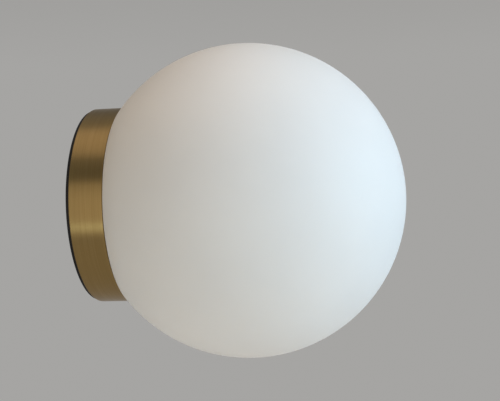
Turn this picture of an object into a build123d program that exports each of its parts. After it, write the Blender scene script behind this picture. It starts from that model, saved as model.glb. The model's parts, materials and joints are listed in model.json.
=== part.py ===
from build123d import *
import os
from math import acos, atan2, degrees, hypot, sqrt

# Globe wall light: an opal glass globe that screws into a short brass drum on a black back plate.
# The wall is the plane Y = 0, the lamp stands out from it along -Y, and +Z is up.
# Lengths are in millimetres. A "depth" is a distance out from the wall.

# Clearances
slip_clearance = 0.1
thread_clearance = 0.6
contact_gap = 0.1

# Globe
globe_diameter = 200.0
globe_wall = 3.5
shoulder_overhang = 0.8
shoulder_rounding = 6.0
neck_length = 14.0
neck_root_rounding = 1.2

# Drum
drum_diameter = 126.0
drum_depth = 21.0
drum_wall = 2.5
drum_edge_chamfer = 0.5
gallery_width = 17.0
gallery_thickness = 2.5
neck_gap = 1.7

# Flat seal between drum and globe, in a groove of the drum's front
seal_width = 6.6
seal_thickness = 1.5
seal_groove_depth = 1.0
seal_edge_land = 0.5

# Threaded ring that holds the globe's neck
ring_length = 12.0
ring_wall = 3.0
ring_flange_thickness = 2.0
ring_lead_in = 0.8
ring_screw_count = 4
ring_screw_radius = 1.5
ring_screw_head_radius = 2.6
ring_screw_head_height = 1.8
ring_screw_recess = 0.3

# Back plate and its two lugs
plate_thickness = 2.0
plate_inset = 1.2
lug_width = 14.0
lug_height = 13.0
lug_setback = 1.0
lug_relief = 1.5
lug_corner_fillet = 3.0
sheet_bend_radius = 1.5
wall_screw_spacing = 80.0
wall_slot_length = 12.0
wall_slot_width = 5.0

# Grub screws through the drum's wall
grub_screw_radius = 2.0
grub_screw_recess = 0.4

# Cable entry
grommet_hole_radius = 7.0
grommet_bore_radius = 4.5
grommet_flange_radius = 9.5
grommet_flange_height = 2.0
grommet_rounding = 0.6

# Screws into the plate
plate_screw_radius = 2.0
plate_screw_head_radius = 3.8
plate_screw_head_height = 2.6
plate_screw_end_gap = 0.3
screw_slot_width = 0.9
screw_slot_depth = 1.0

# Lampholder bridge
bridge_span = 40.0
bridge_height = 13.0
bridge_width = 18.0
bridge_foot = 11.0
bridge_sheet = 1.5
bridge_foot_fillet = 3.0

# Hollow threaded nipple, nut and lock washer
nipple_radius = 5.0
nipple_bore_radius = 3.9
nipple_grip = 8.0
nipple_tail = 1.0
nut_width = 14.0
nut_thickness = 3.0
washer_radius = 8.5
washer_thickness = 0.8
washer_teeth = 12
washer_tooth_width = 1.2
washer_tooth_depth = 1.6

# Porcelain lampholder
holder_radius = 20.0
holder_foot_radius = 11.5
holder_length = 49.0
cap_length = 17.0
cap_dome_length = 9.0
cap_foot_rounding = 2.5
cap_dome_rounding = 6.0
cap_floor = 8.0
cap_cavity_radius = 14.5
spigot_length = 4.0
spigot_socket_wall = 2.0
skirt_lip_rounding = 1.5
skirt_rib_count = 24
skirt_rib_radius = 0.9
skirt_rib_end = 5.0
contact_block_radius = 16.0
contact_block_thickness = 9.0
terminal_hole_offset = 6.5
terminal_hole_clearance = 0.3
terminal_hole_depth = 4.0
shell_length = 20.0
shell_sheet = 0.5
shell_floor_radius = 11.0
shell_side_gap = 0.7
leaf_sheet = 0.6
leaf_width = 7.0
leaf_foot = 5.0
leaf_foot_end = 9.5
leaf_rise = 2.3
leaf_rise_run = 2.0
leaf_pad = 6.5
leaf_bend_radius = 1.0

# Bulb with an Edison screw cap
bulb_diameter = 60.0
bulb_length = 108.0
bulb_wall = 1.2
bulb_screw_radius = 13.1
bulb_screw_length = 18.0
bulb_cap_sheet = 0.4
bulb_cap_rounding = 1.4
bulb_tip_radius = 4.8
bulb_tip_height = 1.5
insulator_length = 4.5
insulator_end_radius = 6.5
housing_length = 24.0
housing_foot_radius = 14.6
housing_top_radius = 22.5
housing_foot_band = 2.0
housing_spigot_length = 10.0
housing_rim = 1.6
housing_flare_bulge = 1.2

# Terminal block with two poles
pole_pitch = 10.0
pole_width = 7.2
pole_height = 9.5
pole_rounding = 2.0
block_length = 17.0
block_height_up = 20.0
block_slab = 2.5
tube_axis_height = 6.0
tube_radius = 2.5
tube_bore_radius = 1.7
tube_length = 15.0
tower_radius = 3.1
tower_height = 12.5
tower_spacing = 9.0
clamp_screw_radius = 1.4
clamp_screw_recess = 1.5
block_screw_radius = 1.4
block_screw_head_radius = 2.2
block_screw_head_height = 1.6

# Earth terminal
earth_drop = 20.0
earth_washer_radius = 5.5
earth_washer_sheet = 1.0
earth_washer_rim = 1.2

# Leads inside the lamp
lead_radius = 1.2
lead_bend_radius = 4.5
lead_spread_radius = 3.0
lead_offset = 1.7
neutral_lead_reach = 12.0
live_lead_reach = 15.5
lead_floor_gap = 4.2
lead_straight_end = 1.5

# Radii worked out from the sizes above
globe_radius = globe_diameter / 2
drum_radius = drum_diameter / 2
drum_bore = drum_radius - drum_wall
opening_radius = drum_bore - gallery_width
neck_radius = opening_radius - neck_gap
ring_bore = neck_radius + thread_clearance
ring_collar_radius = ring_bore + ring_wall
seal_outer_radius = drum_bore - seal_edge_land - slip_clearance
seal_inner_radius = seal_outer_radius - seal_width
groove_inner_radius = seal_inner_radius - slip_clearance
groove_outer_radius = seal_outer_radius + slip_clearance
ring_screw_circle = (ring_collar_radius + groove_inner_radius) / 2
plate_radius = drum_radius - plate_inset
lug_face = drum_bore - lug_setback
shoulder_radius = drum_radius + shoulder_overhang
shell_bore = bulb_screw_radius + thread_clearance
shell_radius = shell_bore + shell_sheet
skirt_bore = shell_radius + shell_side_gap
spigot_radius = holder_radius - spigot_socket_wall - slip_clearance

# Depths worked out from the sizes above
drum_front = plate_thickness + drum_depth
gallery_back = drum_front - gallery_thickness
ring_back = gallery_back - ring_length
ring_flange_back = gallery_back - ring_flange_thickness
seal_back = drum_front - seal_groove_depth
globe_seat = seal_back + seal_thickness
globe_centre = globe_seat + sqrt(globe_radius**2 - shoulder_radius**2)
neck_end = globe_seat - neck_length
grub_depth = plate_thickness + lug_height / 2
bridge_top = plate_thickness + bridge_height
bridge_under = bridge_top - bridge_sheet
cap_front = bridge_top + cap_length
holder_front = bridge_top + holder_length
contact_block_back = cap_front - spigot_length
contact_block_front = contact_block_back + contact_block_thickness
leaf_top = contact_block_front + leaf_rise + leaf_sheet
bulb_tip_back = leaf_top + contact_gap
insulator_back = bulb_tip_back + bulb_tip_height
bulb_cap_back = insulator_back + insulator_length
bulb_cap_front = bulb_cap_back + bulb_screw_length
housing_front = bulb_cap_front + housing_length
bulb_radius = bulb_diameter / 2
bulb_centre = bulb_tip_back + bulb_length - bulb_radius
tube_depth = plate_thickness + tube_axis_height
lead_depth = plate_thickness + lead_floor_gap

# Section plane: local x is the depth, local y is the radius
section = Plane(origin=(0, 0, 0), x_dir=(0, -1, 0), z_dir=(-1, 0, 0))
# Face plane at a depth: local x is X, local y is Z, and it faces out from the wall
wall = Plane.XZ
plate_front = Plane.XZ.offset(plate_thickness)

os.makedirs("parts", exist_ok=True)


def save(piece, name):
    """Label a finished piece and write its STEP file."""
    piece.part.label = name
    export_step(piece.part, f"parts/{name}.step")


def pan_screw(head_radius, head_height, shank_radius, shank_length):
    """Slotted round-head screw: head on +Z, shank down from Z = 0."""
    with BuildPart() as screw:
        with BuildSketch():
            Circle(head_radius)
        extrude(amount=head_height)
        fillet(screw.edges().sort_by(Axis.Z)[-1], min(head_height, head_radius) / 2)
        with BuildSketch(Plane.XY.offset(head_height)):
            Rectangle(2 * head_radius, screw_slot_width)
        extrude(amount=-min(screw_slot_depth, head_height / 2), mode=Mode.SUBTRACT)
        with BuildSketch():
            Circle(shank_radius)
        extrude(amount=-shank_length)
    return screw.part


# Lug bent up from the plate's edge
lug_bend_start = lug_face - plate_thickness - sheet_bend_radius
with BuildPart() as lug:
    with BuildSketch(section):
        with BuildLine():
            FilletPolyline(
                (plate_thickness / 2, lug_bend_start - plate_thickness),
                (plate_thickness / 2, lug_face - plate_thickness / 2),
                (plate_thickness + lug_height, lug_face - plate_thickness / 2),
                radius=sheet_bend_radius + plate_thickness / 2,
            )
        trace(line_width=plate_thickness)
    extrude(amount=lug_width / 2, both=True)
    fillet(lug.faces().sort_by(Axis.Y)[0].edges().filter_by(Axis.Z), lug_corner_fillet)

# Back plate: a disc with a lug at top and bottom
with BuildPart() as back_plate:
    with BuildSketch(wall):
        Circle(plate_radius)
        Circle(grommet_hole_radius, mode=Mode.SUBTRACT)
        with GridLocations(wall_screw_spacing, 0, 2, 1):
            SlotOverall(wall_slot_length, wall_slot_width, mode=Mode.SUBTRACT)
        with GridLocations(bridge_span + bridge_foot, 0, 2, 1):
            Circle(plate_screw_radius + slip_clearance, mode=Mode.SUBTRACT)
        with Locations((0, -earth_drop)):
            Circle(plate_screw_radius + slip_clearance, mode=Mode.SUBTRACT)
        with Locations((0, block_height_up)):
            Circle(block_screw_radius + slip_clearance, mode=Mode.SUBTRACT)
        with PolarLocations(lug_bend_start, 2, start_angle=90):
            Rectangle(
                plate_radius,
                lug_width + 2 * lug_relief,
                align=(Align.MIN, Align.CENTER),
                mode=Mode.SUBTRACT,
            )
    extrude(amount=plate_thickness)
    add(lug.part)
    add(lug.part, rotation=(0, 180, 0))
save(back_plate, "back_plate")

# Rubber grommet pressed into the plate's cable hole
with BuildPart() as cable_grommet:
    with BuildSketch(section):
        with BuildLine():
            Polyline(
                (0, grommet_bore_radius),
                (0, grommet_hole_radius - slip_clearance),
                (plate_thickness, grommet_hole_radius - slip_clearance),
                (plate_thickness, grommet_flange_radius),
                (plate_thickness + grommet_flange_height, grommet_flange_radius),
                (plate_thickness + grommet_flange_height, grommet_bore_radius),
                close=True,
            )
        make_face()
    revolve(axis=Axis.Y)
    fillet(cable_grommet.edges().filter_by(GeomType.CIRCLE).group_by(Axis.Y)[0][-1:], grommet_rounding)
save(cable_grommet, "cable_grommet")

# Brass drum: side wall with a front gallery that carries the seal and the threaded ring
with BuildPart() as base_drum:
    with BuildSketch(section):
        with BuildLine():
            Polyline(
                (plate_thickness, drum_bore),
                (plate_thickness, drum_radius),
                (drum_front, drum_radius),
                (drum_front, groove_outer_radius),
                (seal_back, groove_outer_radius),
                (seal_back, groove_inner_radius),
                (drum_front, groove_inner_radius),
                (drum_front, opening_radius),
                (gallery_back, opening_radius),
                (gallery_back, drum_bore),
                close=True,
            )
        make_face()
        chamfer(vertices().group_by(Axis.Y)[-1], drum_edge_chamfer)
    revolve(axis=Axis.Y)
    with BuildSketch(Plane.XZ.offset(gallery_back)):
        with PolarLocations(ring_screw_circle, ring_screw_count, start_angle=45):
            Circle(ring_screw_radius + slip_clearance)
    extrude(amount=gallery_thickness, mode=Mode.SUBTRACT)
    with BuildSketch(Plane.XY):
        with Locations((0, -grub_depth)):
            Circle(grub_screw_radius + slip_clearance)
    extrude(amount=drum_radius, both=True, mode=Mode.SUBTRACT)
save(base_drum, "base_drum")

# Grub screws that lock the drum to the plate's lugs
with BuildPart() as grub_screws:
    grub_length = drum_radius - grub_screw_recess - lug_face - contact_gap
    for direction in (1, -1):
        tip = Plane(
            origin=(0, -grub_depth, direction * (lug_face + contact_gap)),
            x_dir=(1, 0, 0),
            z_dir=(0, 0, direction),
        )
        with BuildSketch(tip):
            Circle(grub_screw_radius)
        extrude(amount=grub_length)
        with BuildSketch(tip.offset(grub_length)):
            RegularPolygon(grub_screw_radius / 2, 6, major_radius=False)
        extrude(amount=-grub_length / 2, mode=Mode.SUBTRACT)
save(grub_screws, "grub_screws")

# Ring with the thread for the globe's neck, fixed behind the gallery
with BuildPart() as neck_ring:
    with BuildSketch(section):
        with BuildLine():
            Polyline(
                (ring_back, ring_bore),
                (ring_back, ring_collar_radius),
                (ring_flange_back, ring_collar_radius),
                (ring_flange_back, groove_inner_radius),
                (gallery_back, groove_inner_radius),
                (gallery_back, ring_bore + ring_lead_in),
                (gallery_back - ring_lead_in, ring_bore),
                close=True,
            )
        make_face()
    revolve(axis=Axis.Y)
    with BuildSketch(Plane.XZ.offset(ring_flange_back)):
        with PolarLocations(ring_screw_circle, ring_screw_count, start_angle=45):
            Circle(ring_screw_radius + slip_clearance)
    extrude(amount=ring_flange_thickness, mode=Mode.SUBTRACT)
save(neck_ring, "neck_ring")

# Screws from behind, through the ring's flange into the gallery
ring_screw = pan_screw(
    ring_screw_head_radius,
    ring_screw_head_height,
    ring_screw_radius,
    ring_flange_thickness + gallery_thickness - ring_screw_recess,
)
with BuildPart(Plane.XZ.offset(ring_flange_back)) as ring_screws:
    with PolarLocations(ring_screw_circle, ring_screw_count, start_angle=45):
        add(ring_screw, rotation=(180, 0, 0))
save(ring_screws, "ring_screws")

# Flat silicone seal in the drum's groove
with BuildPart() as seal_ring:
    with BuildSketch(Plane.XZ.offset(seal_back)):
        Circle(seal_outer_radius)
        Circle(seal_inner_radius, mode=Mode.SUBTRACT)
    extrude(amount=seal_thickness)
save(seal_ring, "seal_ring")

# Blown glass globe: a sphere cut flat at the shoulder, then turned in to a neck, all one wall
with BuildPart() as globe_glass:
    with BuildSketch(section):
        with BuildLine() as globe_outline:
            sphere_arc = CenterArc(
                (globe_centre, 0),
                globe_radius,
                0,
                degrees(atan2(shoulder_radius, globe_seat - globe_centre)),
            )
            shoulder_line = Line(sphere_arc @ 1, (globe_seat, neck_radius))
            neck_line = Line(shoulder_line @ 1, (neck_end, neck_radius))
            shoulder_corner = globe_outline.vertices().sort_by_distance(sphere_arc @ 1)[0]
            fillet(shoulder_corner, shoulder_rounding)
            neck_corner = globe_outline.vertices().sort_by_distance(shoulder_line @ 1)[0]
            fillet(neck_corner, neck_root_rounding)
            offset(amount=globe_wall, side=Side.LEFT)
        make_face()
    revolve(axis=Axis.Y)
    fillet(globe_glass.faces().sort_by(Axis.Y)[-1].edges(), globe_wall / 3)
save(globe_glass, "globe_glass")

# Bent steel bridge that carries the lampholder over the cable entry
bridge_side = Plane(origin=(0, -plate_thickness, 0), x_dir=(1, 0, 0), z_dir=(0, 0, -1))
bridge_foot_reach = bridge_span / 2 + bridge_foot
bridge_leg = bridge_span / 2 - bridge_sheet / 2
with BuildPart() as lampholder_bridge:
    with BuildSketch(bridge_side):
        with BuildLine():
            FilletPolyline(
                (-bridge_foot_reach, bridge_sheet / 2),
                (-bridge_leg, bridge_sheet / 2),
                (-bridge_leg, bridge_height - bridge_sheet / 2),
                (bridge_leg, bridge_height - bridge_sheet / 2),
                (bridge_leg, bridge_sheet / 2),
                (bridge_foot_reach, bridge_sheet / 2),
                radius=sheet_bend_radius + bridge_sheet / 2,
            )
        trace(line_width=bridge_sheet)
    extrude(amount=bridge_width / 2, both=True)
    foot_corners = lampholder_bridge.edges().filter_by(Axis.Y).group_by(Axis.X)
    fillet(foot_corners[0] + foot_corners[-1], bridge_foot_fillet)
    with BuildSketch(plate_front):
        Circle(nipple_radius + slip_clearance)
        with GridLocations(bridge_span + bridge_foot, 0, 2, 1):
            Circle(plate_screw_radius + slip_clearance)
    extrude(amount=bridge_height, mode=Mode.SUBTRACT)
save(lampholder_bridge, "lampholder_bridge")

# Screws that hold the bridge's feet to the plate
bridge_screw = pan_screw(
    plate_screw_head_radius,
    plate_screw_head_height,
    plate_screw_radius,
    bridge_sheet + plate_thickness - plate_screw_end_gap,
)
with BuildPart(plate_front.offset(bridge_sheet)) as bridge_screws:
    with GridLocations(bridge_span + bridge_foot, 0, 2, 1):
        add(bridge_screw)
save(bridge_screws, "bridge_screws")

# Hollow nipple through the bridge into the lampholder, with its nut and lock washer
nipple_back = bridge_under - washer_thickness - nut_thickness - nipple_tail
with BuildPart() as hollow_nipple:
    with BuildSketch(Plane.XZ.offset(nipple_back)):
        Circle(nipple_radius)
        Circle(nipple_bore_radius, mode=Mode.SUBTRACT)
    extrude(amount=bridge_top + nipple_grip - nipple_back)
save(hollow_nipple, "hollow_nipple")

with BuildPart() as lock_washer:
    with BuildSketch(Plane.XZ.offset(bridge_under - washer_thickness)):
        Circle(washer_radius)
        Circle(nipple_radius + slip_clearance, mode=Mode.SUBTRACT)
        with PolarLocations(washer_radius, washer_teeth):
            Rectangle(2 * washer_tooth_depth, washer_tooth_width, mode=Mode.SUBTRACT)
    extrude(amount=washer_thickness)
save(lock_washer, "lock_washer")

with BuildPart() as nipple_nut:
    with BuildSketch(Plane.XZ.offset(bridge_under - washer_thickness - nut_thickness)):
        RegularPolygon(nut_width / 2, 6, major_radius=False)
        Circle(nipple_radius + slip_clearance, mode=Mode.SUBTRACT)
    extrude(amount=nut_thickness)
save(nipple_nut, "nipple_nut")

# Porcelain cap of the lampholder: domed, screwed on the nipple
with BuildPart() as lampholder_cap:
    with BuildSketch(section):
        with BuildLine():
            FilletPolyline(
                (bridge_top, 0),
                (bridge_top, holder_foot_radius),
                (bridge_top + cap_dome_length, holder_radius),
                (cap_front, holder_radius),
                (cap_front, 0),
                radius=(cap_foot_rounding, cap_dome_rounding, 0),
            )
            Line((cap_front, 0), (bridge_top, 0))
        make_face()
        with BuildLine():
            Polyline(
                (bridge_top, 0),
                (bridge_top, nipple_radius + slip_clearance),
                (bridge_top + cap_floor, nipple_radius + slip_clearance),
                (bridge_top + cap_floor, cap_cavity_radius),
                (contact_block_back, cap_cavity_radius),
                (contact_block_back, spigot_radius + slip_clearance),
                (cap_front, spigot_radius + slip_clearance),
                (cap_front, 0),
                close=True,
            )
        make_face(mode=Mode.SUBTRACT)
    revolve(axis=Axis.Y)
save(lampholder_cap, "lampholder_cap")

# Porcelain skirt of the lampholder, ribbed for grip, with a spigot inside the cap
with BuildPart() as lampholder_skirt:
    with BuildSketch(section):
        with BuildLine():
            Polyline(
                (contact_block_back, contact_block_radius + slip_clearance),
                (contact_block_back, spigot_radius),
                (cap_front, spigot_radius),
                (cap_front, holder_radius),
                (holder_front, holder_radius),
                (holder_front, skirt_bore),
                (contact_block_front, skirt_bore),
                (contact_block_front, contact_block_radius + slip_clearance),
                close=True,
            )
        make_face()
    revolve(axis=Axis.Y)
    fillet(lampholder_skirt.faces().sort_by(Axis.Y)[0].edges(), skirt_lip_rounding)
    with BuildSketch(Plane.XZ.offset(cap_front + skirt_rib_end)):
        with PolarLocations(holder_radius, skirt_rib_count):
            Circle(skirt_rib_radius)
    extrude(amount=holder_front - cap_front - 2 * skirt_rib_end, mode=Mode.SUBTRACT)
save(lampholder_skirt, "lampholder_skirt")

# Porcelain block that carries the contacts, clamped between cap and skirt
with BuildPart() as contact_block:
    with BuildSketch(Plane.XZ.offset(contact_block_back)):
        Circle(contact_block_radius)
    extrude(amount=contact_block_thickness)
    with BuildSketch(Plane.XZ.offset(contact_block_back)):
        with GridLocations(0, 2 * terminal_hole_offset, 1, 2):
            Circle(lead_radius + terminal_hole_clearance)
    extrude(amount=terminal_hole_depth, mode=Mode.SUBTRACT)
save(contact_block, "contact_block")

# Screw shell of the socket, a cup with an open floor
with BuildPart() as socket_shell:
    with BuildSketch(section):
        with BuildLine():
            Polyline(
                (contact_block_front, shell_floor_radius),
                (contact_block_front, shell_radius),
                (contact_block_front + shell_length, shell_radius),
                (contact_block_front + shell_length, shell_bore),
                (contact_block_front + shell_sheet, shell_bore),
                (contact_block_front + shell_sheet, shell_floor_radius),
                close=True,
            )
        make_face()
    revolve(axis=Axis.Y)
save(socket_shell, "socket_shell")

# Sprung leaf that meets the bulb's tip
leaf_side = Plane(origin=(0, -contact_block_front, 0), x_dir=(1, 0, 0), z_dir=(0, 0, -1))
leaf_crest = leaf_foot_end - leaf_foot - leaf_rise_run
with BuildPart() as centre_contact:
    with BuildSketch(leaf_side):
        with BuildLine():
            FilletPolyline(
                (leaf_foot_end, leaf_sheet / 2),
                (leaf_foot_end - leaf_foot, leaf_sheet / 2),
                (leaf_crest, leaf_rise + leaf_sheet / 2),
                (leaf_crest - leaf_pad, leaf_rise + leaf_sheet / 2),
                radius=leaf_bend_radius,
            )
        trace(line_width=leaf_sheet)
    extrude(amount=leaf_width / 2, both=True)
save(centre_contact, "centre_contact")

# Terminal block: two poles with brass tubes, on one slab
block_end = Plane(origin=(0, -plate_thickness, block_height_up), x_dir=(0, 0, 1), z_dir=(1, 0, 0))
with BuildPart() as terminal_block:
    with BuildSketch(block_end):
        with GridLocations(pole_pitch, 0, 2, 1):
            Rectangle(pole_width, pole_height, align=(Align.CENTER, Align.MIN))
        fillet(vertices().group_by(Axis.Y)[-1], pole_rounding)
        Rectangle(pole_pitch, block_slab, align=(Align.CENTER, Align.MIN))
    extrude(amount=block_length / 2, both=True)
    with BuildSketch(plate_front):
        with Locations((0, block_height_up)):
            with GridLocations(tower_spacing, pole_pitch, 2, 2):
                Circle(tower_radius)
    extrude(amount=tower_height)
    with BuildSketch(block_end):
        with Locations((0, tube_axis_height)):
            with GridLocations(pole_pitch, 0, 2, 1):
                Circle(tube_radius + slip_clearance)
    extrude(amount=block_length, both=True, mode=Mode.SUBTRACT)
    with BuildSketch(Plane.XZ.offset(tube_depth)):
        with Locations((0, block_height_up)):
            with GridLocations(tower_spacing, pole_pitch, 2, 2):
                Circle(clamp_screw_radius + slip_clearance)
    extrude(amount=tower_height, mode=Mode.SUBTRACT)
    with BuildSketch(plate_front):
        with Locations((0, block_height_up)):
            Circle(block_screw_radius + slip_clearance)
    extrude(amount=block_slab, mode=Mode.SUBTRACT)
    with BuildSketch(plate_front.offset(block_slab)):
        with Locations((0, block_height_up)):
            Circle(block_screw_head_radius + slip_clearance)
    extrude(amount=tower_height, mode=Mode.SUBTRACT)
save(terminal_block, "terminal_block")

with BuildPart() as terminal_tubes:
    with BuildSketch(block_end):
        with Locations((0, tube_axis_height)):
            with GridLocations(pole_pitch, 0, 2, 1):
                Circle(tube_radius)
                Circle(tube_bore_radius, mode=Mode.SUBTRACT)
    extrude(amount=tube_length / 2, both=True)
    with BuildSketch(Plane.XZ.offset(tube_depth)):
        with Locations((0, block_height_up)):
            with GridLocations(tower_spacing, pole_pitch, 2, 2):
                Circle(clamp_screw_radius + slip_clearance)
    extrude(amount=tower_height, mode=Mode.SUBTRACT)
save(terminal_tubes, "terminal_tubes")

# Clamp screws stand on the leads inside the tubes
clamp_screw_foot = tube_depth + lead_radius + slip_clearance
clamp_screw_length = plate_thickness + tower_height - clamp_screw_recess - clamp_screw_foot
with BuildPart() as clamp_screws:
    with BuildSketch(Plane.XZ.offset(clamp_screw_foot)):
        with Locations((0, block_height_up)):
            with GridLocations(tower_spacing, pole_pitch, 2, 2):
                Circle(clamp_screw_radius)
    extrude(amount=clamp_screw_length)
    with BuildSketch(Plane.XZ.offset(clamp_screw_foot + clamp_screw_length)):
        with Locations((0, block_height_up)):
            with GridLocations(tower_spacing, pole_pitch, 2, 2):
                Rectangle(2 * clamp_screw_radius, screw_slot_width)
    extrude(amount=-screw_slot_depth, mode=Mode.SUBTRACT)
save(clamp_screws, "clamp_screws")

# Screw that holds the terminal block down, between its poles
block_fixing = pan_screw(
    block_screw_head_radius,
    block_screw_head_height,
    block_screw_radius,
    block_slab + plate_thickness - plate_screw_end_gap,
)
with BuildPart(plate_front.offset(block_slab)) as block_screw:
    with Locations((0, block_height_up)):
        add(block_fixing)
save(block_screw, "block_screw")

# Earth terminal: a cupped washer and a screw into the plate
with BuildPart() as earth_washer:
    with BuildSketch(section):
        with BuildLine():
            Polyline(
                (plate_thickness + earth_washer_rim, plate_screw_radius + slip_clearance),
                (plate_thickness + earth_washer_rim, earth_washer_radius - earth_washer_sheet),
                (plate_thickness, earth_washer_radius - earth_washer_sheet),
                (plate_thickness, earth_washer_radius),
                (plate_thickness + earth_washer_rim + earth_washer_sheet, earth_washer_radius),
                (
                    plate_thickness + earth_washer_rim + earth_washer_sheet,
                    plate_screw_radius + slip_clearance,
                ),
                close=True,
            )
        make_face()
    revolve(axis=Axis.Y)
earth_washer.part.position = (0, 0, -earth_drop)
save(earth_washer, "earth_washer")

earth_fixing = pan_screw(
    plate_screw_head_radius,
    plate_screw_head_height,
    plate_screw_radius,
    plate_thickness + earth_washer_rim + earth_washer_sheet - plate_screw_end_gap,
)
with BuildPart(plate_front.offset(earth_washer_rim + earth_washer_sheet)) as earth_screw:
    with Locations((0, -earth_drop)):
        add(earth_fixing)
save(earth_screw, "earth_screw")

# Leads from the terminal block, under the bridge and through the nipple to the contact block
lead_start = tower_spacing / 4
lead_end = contact_block_back + terminal_hole_depth - terminal_hole_clearance
spread_start = bridge_top + nipple_grip
spread_end = contact_block_back - lead_straight_end


def lead_route(pole_up, reach, side):
    """Corner points of a lead, as (x, depth, z)."""
    corners = (
        (lead_start, tube_depth, pole_up),
        (reach, tube_depth, pole_up),
        (reach, lead_depth, side * lead_offset),
        (0, lead_depth, side * lead_offset),
        (0, spread_start, side * lead_offset),
        (0, spread_end, side * terminal_hole_offset),
        (0, lead_end, side * terminal_hole_offset),
    )
    return [Vector(x, -depth, z) for x, depth, z in corners]


lead_radii = [lead_bend_radius] * 3 + [lead_spread_radius] * 2

with BuildPart() as neutral_lead:
    with BuildLine() as neutral_route:
        FilletPolyline(
            lead_route(block_height_up - pole_pitch / 2, neutral_lead_reach, 1),
            radius=lead_radii,
        )
    with BuildSketch(Plane(neutral_route.line @ 0, z_dir=neutral_route.line % 0)):
        Circle(lead_radius)
    sweep()
save(neutral_lead, "neutral_lead")

with BuildPart() as live_lead:
    with BuildLine() as live_route:
        FilletPolyline(
            lead_route(block_height_up + pole_pitch / 2, live_lead_reach, -1),
            radius=lead_radii,
        )
    with BuildSketch(Plane(live_route.line @ 0, z_dir=live_route.line % 0)):
        Circle(lead_radius)
    sweep()
save(live_lead, "live_lead")

# Bulb tip, insulator and screw cap
tip_dome_radius = (bulb_tip_radius**2 + bulb_tip_height**2) / (2 * bulb_tip_height)
with BuildPart() as bulb_tip:
    with BuildSketch(section):
        with BuildLine():
            RadiusArc((bulb_tip_back, 0), (insulator_back, bulb_tip_radius), tip_dome_radius)
            Polyline((insulator_back, bulb_tip_radius), (insulator_back, 0), (bulb_tip_back, 0))
        make_face()
    revolve(axis=Axis.Y)
save(bulb_tip, "bulb_tip")

with BuildPart() as bulb_insulator:
    with BuildSketch(section):
        with BuildLine():
            Polyline(
                (insulator_back, 0),
                (insulator_back, insulator_end_radius),
                (bulb_cap_back, bulb_screw_radius - bulb_cap_rounding),
                (bulb_cap_back, 0),
                close=True,
            )
        make_face()
    revolve(axis=Axis.Y)
save(bulb_insulator, "bulb_insulator")

with BuildPart() as bulb_cap:
    with BuildSketch(section):
        with BuildLine():
            FilletPolyline(
                (bulb_cap_back, 0),
                (bulb_cap_back, bulb_screw_radius),
                (bulb_cap_front, bulb_screw_radius),
                radius=bulb_cap_rounding,
            )
            offset(amount=bulb_cap_sheet, side=Side.RIGHT)
        make_face()
    revolve(axis=Axis.Y)
save(bulb_cap, "bulb_cap")

# Bulb housing: a spigot inside the cap and a flared body
housing_spigot_radius = bulb_screw_radius - bulb_cap_sheet - slip_clearance
with BuildPart() as bulb_housing:
    with BuildSketch(section):
        with BuildLine():
            foot_line = Polyline(
                (housing_front, 0),
                (bulb_cap_front - housing_spigot_length, 0),
                (bulb_cap_front - housing_spigot_length, housing_spigot_radius),
                (bulb_cap_front, housing_spigot_radius),
                (bulb_cap_front, housing_foot_radius),
                (bulb_cap_front + housing_foot_band, housing_foot_radius),
            )
            flare_start = foot_line @ 1
            flare_end = Vector(housing_front, housing_top_radius)
            flare_middle = (flare_start + flare_end) / 2 + Vector(housing_flare_bulge, -housing_flare_bulge)
            ThreePointArc(flare_start, flare_middle, flare_end)
            Line(flare_end, (housing_front, 0))
        make_face()
    revolve(axis=Axis.Y)
save(bulb_housing, "bulb_housing")

# Bulb envelope: a ball that runs tangent into a cone down to the housing
cone_end = Vector(housing_front, housing_top_radius - housing_rim)
cone_reach = hypot(cone_end.X - bulb_centre, cone_end.Y)
ball_sweep = degrees(atan2(cone_end.Y, cone_end.X - bulb_centre) - acos(bulb_radius / cone_reach))
with BuildPart() as bulb_envelope:
    with BuildSketch(section):
        with BuildLine():
            ball = CenterArc((bulb_centre, 0), bulb_radius, 0, ball_sweep)
            Line(ball @ 1, cone_end)
            offset(amount=bulb_wall, side=Side.LEFT)
        make_face()
    revolve(axis=Axis.Y)
save(bulb_envelope, "bulb_envelope")
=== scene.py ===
"""Looks of the globe wall light: an opal glass globe on a short brass drum with a black back plate.

Lengths are in metres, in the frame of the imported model: the wall is the plane Y = 0, the lamp
stands out from it along -Y, and +Z is up. A "depth" is a distance out from the wall.
"""

import json
import logging
import math
from dataclasses import dataclass, replace
from enum import Enum
from typing import Any, Optional, Sequence, Union

import bpy
from mathutils import Matrix, Quaternion, Vector

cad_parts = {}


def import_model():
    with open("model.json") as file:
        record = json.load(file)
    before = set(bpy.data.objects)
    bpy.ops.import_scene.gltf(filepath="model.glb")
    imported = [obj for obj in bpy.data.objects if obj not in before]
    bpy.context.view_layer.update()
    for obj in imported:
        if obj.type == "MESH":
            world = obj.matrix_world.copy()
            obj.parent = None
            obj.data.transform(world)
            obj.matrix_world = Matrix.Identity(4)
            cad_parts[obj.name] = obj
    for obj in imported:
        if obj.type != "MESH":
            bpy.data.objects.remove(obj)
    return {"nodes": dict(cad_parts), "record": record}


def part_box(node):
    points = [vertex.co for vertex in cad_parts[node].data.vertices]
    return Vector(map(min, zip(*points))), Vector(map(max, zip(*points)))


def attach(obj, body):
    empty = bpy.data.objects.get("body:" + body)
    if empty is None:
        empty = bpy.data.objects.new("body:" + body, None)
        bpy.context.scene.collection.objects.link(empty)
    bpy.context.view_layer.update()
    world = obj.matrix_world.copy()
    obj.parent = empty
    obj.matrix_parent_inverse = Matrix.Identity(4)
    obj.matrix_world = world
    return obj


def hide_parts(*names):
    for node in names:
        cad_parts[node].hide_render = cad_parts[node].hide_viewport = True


frame: dict[str, Any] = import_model()

log = logging.getLogger("globe_wall_light")

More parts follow.
